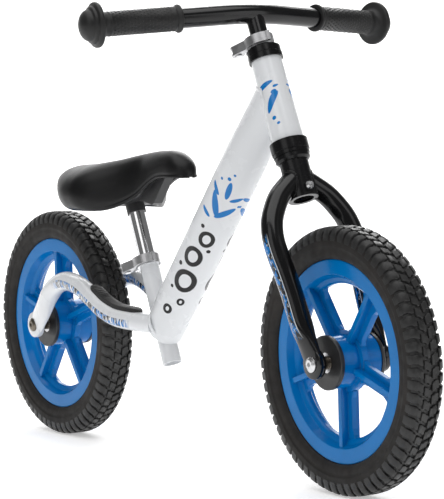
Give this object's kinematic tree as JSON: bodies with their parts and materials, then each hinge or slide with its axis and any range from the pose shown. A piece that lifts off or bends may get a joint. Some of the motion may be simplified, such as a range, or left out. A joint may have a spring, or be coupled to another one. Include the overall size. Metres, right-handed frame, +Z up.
{
  "type": "balance bike",
  "caption": "Child's pedal-less balance bike with a low step-through frame, moulded wheels on foam tyres, quick-release saddle and bar, and fixed footrests.",
  "frame": {"origin": "on the floor, midway between the two axles, in the bike's middle plane", "axes": "+X forward, +Y to the rider's left, +Z up"},
  "size_m": [0.893, 0.4076, 0.5281],
  "materials": {
    "white_paint": "gloss powder coat",
    "black_paint": "gloss powder coat",
    "pad_rubber": "textured",
    "grip_rubber": "matte, dotted",
    "steel": "zinc plated",
    "dark_steel": "dark plated",
    "collar_alloy": "bright machined",
    "lever_alloy": "grey anodised",
    "chromed_steel": "polished",
    "saddle_plastic": "moulded satin",
    "saddle_skin": "satin synthetic skin over foam",
    "blue_plastic": "moulded gloss",
    "foam_tyre": "foam rubber, matte",
    "cap_plastic": "satin"
  },
  "bodies": {
    "frame": {"head_tube": "white_paint", "main_tube": "white_paint", "seat_tube": "white_paint", "right_stay": "white_paint", "left_stay": "white_paint", "right_footrest_pad": "pad_rubber", "left_footrest_pad": "pad_rubber", "upper_headset_cup": "black_paint", "lower_headset_cup": "black_paint", "headset_bearings": "steel", "seat_clamp_collar": "collar_alloy", "seat_clamp_skewer": "steel", "seat_clamp_nut": "steel", "rear_axle": "steel", "rear_axle_bolts": "dark_steel", "rear_axle_spacers": "dark_steel"},
    "seat": {"seat_post": "chromed_steel", "saddle_base": "saddle_plastic", "saddle_cover": "saddle_skin"},
    "seat_clamp_lever_body": {"seat_clamp_lever": "lever_alloy"},
    "fork": {"steerer": "black_paint", "fork_crown": "black_paint", "right_fork_leg": "black_paint", "left_fork_leg": "black_paint", "crown_race": "black_paint", "headset_top_nut": "black_paint", "crown_bolt": "steel", "crown_nut": "steel", "bar_clamp_collar": "collar_alloy", "bar_clamp_skewer": "steel", "bar_clamp_nut": "steel", "front_axle": "steel", "front_axle_bolts": "steel", "front_axle_spacers": "dark_steel"},
    "bar_clamp_lever_body": {"bar_clamp_lever": "lever_alloy"},
    "bar": {"handlebar": "black_paint", "handlebar_post": "black_paint", "right_grip": "grip_rubber", "left_grip": "grip_rubber"},
    "front_wheel": {"front_rim": "blue_plastic", "front_tyre": "foam_tyre", "front_bearings": "steel", "front_hub_caps": "cap_plastic"},
    "rear_wheel": {"rear_rim": "blue_plastic", "rear_tyre": "foam_tyre", "rear_bearings": "steel", "rear_hub_caps": "cap_plastic"}
  },
  "joints": [
    {"name": "steering", "type": "hinge", "parent": "frame", "child": "fork", "pos_m": [0.20601, 0, 0.37206], "axis": [-0.3907, 0, 0.9205], "continuous": true},
    {"name": "front_wheel_spin", "type": "hinge", "parent": "fork", "child": "front_wheel", "pos_m": [0.304, 0, 0.1425], "axis": [0, 1, 0], "continuous": true},
    {"name": "rear_wheel_spin", "type": "hinge", "parent": "frame", "child": "rear_wheel", "pos_m": [-0.304, 0, 0.1425], "axis": [0, 1, 0], "continuous": true},
    {"name": "seat_height", "type": "slide", "parent": "frame", "child": "seat", "axis": [-0.3746, 0, 0.9272], "range_m": [-0.02, 0.04]},
    {"name": "bar_height", "type": "slide", "parent": "fork", "child": "bar", "axis": [-0.3907, 0, 0.9205], "range_m": [-0.006, 0.035]},
    {"name": "seat_clamp_release", "type": "hinge", "parent": "frame", "child": "seat_clamp_lever_body", "pos_m": [-0.11565, -0.0175, 0.22149], "axis": [0.3746, 0, -0.9272], "range_deg": [0, 140]},
    {"name": "bar_clamp_release", "type": "hinge", "parent": "fork", "child": "bar_clamp_lever_body", "pos_m": [0.13834, -0.0175, 0.47262], "axis": [0.3907, 0, -0.9205], "range_deg": [0, 140]}
  ]
}
